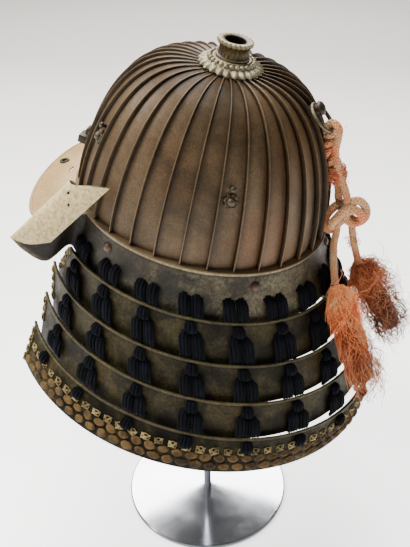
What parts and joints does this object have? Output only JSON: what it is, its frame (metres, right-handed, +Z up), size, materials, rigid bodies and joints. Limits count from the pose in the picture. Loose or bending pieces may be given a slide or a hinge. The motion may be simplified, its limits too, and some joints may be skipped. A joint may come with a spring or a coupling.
{
  "type": "samurai helmet on a display stand",
  "caption": "Ribbed iron samurai helmet with laced neck guard, brim, crown ornament, back ring and tied cord with tassels, on a plain disc-and-rod display stand.",
  "frame": {"origin": "centre of the underside of the stand's disc, on the table", "axes": "+Z up along the rod; -Y is the front of the helmet, where the brim is; +X is the wearer's left"},
  "size_m": [0.36, 0.3608, 0.563],
  "materials": {
    "russet_iron": "russet brown iron, hand burnished",
    "lacquered_neck_plate": "worn brown-black lacquer over iron",
    "brim_iron": "pale worn russet iron",
    "dark_iron": "dark aged iron",
    "crown_metal": "dull grey copper alloy",
    "tube_metal": "dark patinated copper alloy",
    "lacing_silk": "dark blue-black braided silk",
    "cord_silk": "faded orange braided silk",
    "front_tassel_silk": "frayed orange silk",
    "rear_tassel_silk": "frayed red-brown silk",
    "polished_steel": "mirror polished"
  },
  "bodies": {
    "root": {"bowl_plate_01": "russet_iron", "bowl_plate_02": "russet_iron", "bowl_plate_03": "russet_iron", "bowl_plate_04": "russet_iron", "bowl_plate_05": "russet_iron", "bowl_plate_06": "russet_iron", "bowl_plate_07": "russet_iron", "bowl_plate_08": "russet_iron", "bowl_plate_09": "russet_iron", "bowl_plate_10": "russet_iron", "bowl_plate_11": "russet_iron", "bowl_plate_12": "russet_iron", "bowl_plate_13": "russet_iron", "bowl_plate_14": "russet_iron", "bowl_plate_15": "russet_iron", "bowl_plate_16": "russet_iron", "bowl_plate_17": "russet_iron", "bowl_plate_18": "russet_iron", "bowl_plate_19": "russet_iron", "bowl_plate_20": "russet_iron", "bowl_plate_21": "russet_iron", "bowl_plate_22": "russet_iron", "bowl_plate_23": "russet_iron", "bowl_plate_24": "russet_iron", "bowl_plate_25": "russet_iron", "bowl_plate_26": "russet_iron", "bowl_plate_27": "russet_iron", "bowl_plate_28": "russet_iron", "bowl_plate_29": "russet_iron", "bowl_plate_30": "russet_iron", "bowl_plate_31": "russet_iron", "bowl_plate_32": "russet_iron", "crown_base": "crown_metal", "crown_tube": "tube_metal", "base_band": "dark_iron", "neck_plate_1": "lacquered_neck_plate", "neck_plate_2": "lacquered_neck_plate", "neck_plate_3": "lacquered_neck_plate", "neck_plate_4": "lacquered_neck_plate", "neck_plate_5": "lacquered_neck_plate", "lacing_1": "lacing_silk", "lacing_2": "lacing_silk", "lacing_3": "lacing_silk", "lacing_4": "lacing_silk", "lacing_5": "lacing_silk", "lacing_6": "lacing_silk", "lacing_7": "lacing_silk", "lacing_8": "lacing_silk", "brim": "brim_iron", "crest_holder": "dark_iron", "back_ring_post": "dark_iron", "back_ring": "dark_iron", "display_stand": "polished_steel", "cord_loop": "cord_silk", "cord_front": "cord_silk", "cord_rear": "cord_silk", "cord_knot": "cord_silk", "front_tassel": "front_tassel_silk", "rear_tassel": "rear_tassel_silk"}
  },
  "joints": []
}
